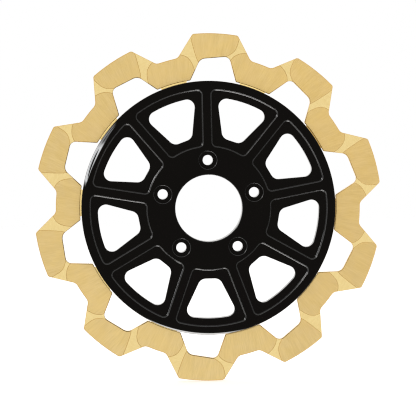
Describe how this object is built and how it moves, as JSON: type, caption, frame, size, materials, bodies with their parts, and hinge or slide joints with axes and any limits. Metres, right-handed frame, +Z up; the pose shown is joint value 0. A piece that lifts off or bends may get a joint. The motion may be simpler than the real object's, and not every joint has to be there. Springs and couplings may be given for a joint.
{
  "type": "brake disc rotor",
  "caption": "Semi-floating motorcycle brake disc: a gold scalloped friction ring carried by tabs behind a black spoked billet carrier with milled pockets.",
  "frame": {"origin": "centre of the wheel bolt circle on the hub's mounting face", "axes": "+Y along the wheel axis towards the wheel, so the visible outer face looks towards -Y; +Z up through one wheel-bolt hole; +X to the right as the outer face is seen"},
  "size_m": [0.2972, 0.019, 0.2996],
  "materials": {
    "black_anodised": "gloss black anodised billet, bright milled edge lines",
    "gold_pad_steel": "gold coated stainless plate, ground pads and smoother relieved legs",
    "bobbin_steel": "turned stainless, satin",
    "washer_steel": "stamped stainless, satin",
    "spring_steel": "spring steel, dull",
    "screw_steel": "black oxide alloy steel, satin"
  },
  "bodies": {
    "carrier_body": {"carrier": "black_anodised", "drive_bobbin_01": "bobbin_steel", "drive_bobbin_02": "bobbin_steel", "drive_bobbin_03": "bobbin_steel", "drive_bobbin_04": "bobbin_steel", "drive_bobbin_05": "bobbin_steel", "drive_bobbin_06": "bobbin_steel", "drive_bobbin_07": "bobbin_steel", "drive_bobbin_08": "bobbin_steel", "drive_bobbin_09": "bobbin_steel", "drive_bobbin_10": "bobbin_steel", "wave_washer_01": "spring_steel", "wave_washer_02": "spring_steel", "wave_washer_03": "spring_steel", "wave_washer_04": "spring_steel", "wave_washer_05": "spring_steel", "wave_washer_06": "spring_steel", "wave_washer_07": "spring_steel", "wave_washer_08": "spring_steel", "wave_washer_09": "spring_steel", "wave_washer_10": "spring_steel", "button_screw_01": "screw_steel", "button_screw_02": "screw_steel", "button_screw_03": "screw_steel", "button_screw_04": "screw_steel", "button_screw_05": "screw_steel", "button_screw_06": "screw_steel", "button_screw_07": "screw_steel", "button_screw_08": "screw_steel", "button_screw_09": "screw_steel", "button_screw_10": "screw_steel"},
    "floating_ring": {"friction_ring": "gold_pad_steel", "flat_washer_01": "washer_steel", "flat_washer_02": "washer_steel", "flat_washer_03": "washer_steel", "flat_washer_04": "washer_steel", "flat_washer_05": "washer_steel", "flat_washer_06": "washer_steel", "flat_washer_07": "washer_steel", "flat_washer_08": "washer_steel", "flat_washer_09": "washer_steel", "flat_washer_10": "washer_steel"}
  },
  "joints": [
    {"name": "ring_float", "type": "slide", "parent": "carrier_body", "child": "floating_ring", "axis": [0, 1, 0], "range_m": [0, 0.00035], "deforming": ["wave_washer_01", "wave_washer_02", "wave_washer_03", "wave_washer_04", "wave_washer_05", "wave_washer_06", "wave_washer_07", "wave_washer_08", "wave_washer_09", "wave_washer_10"]}
  ]
}
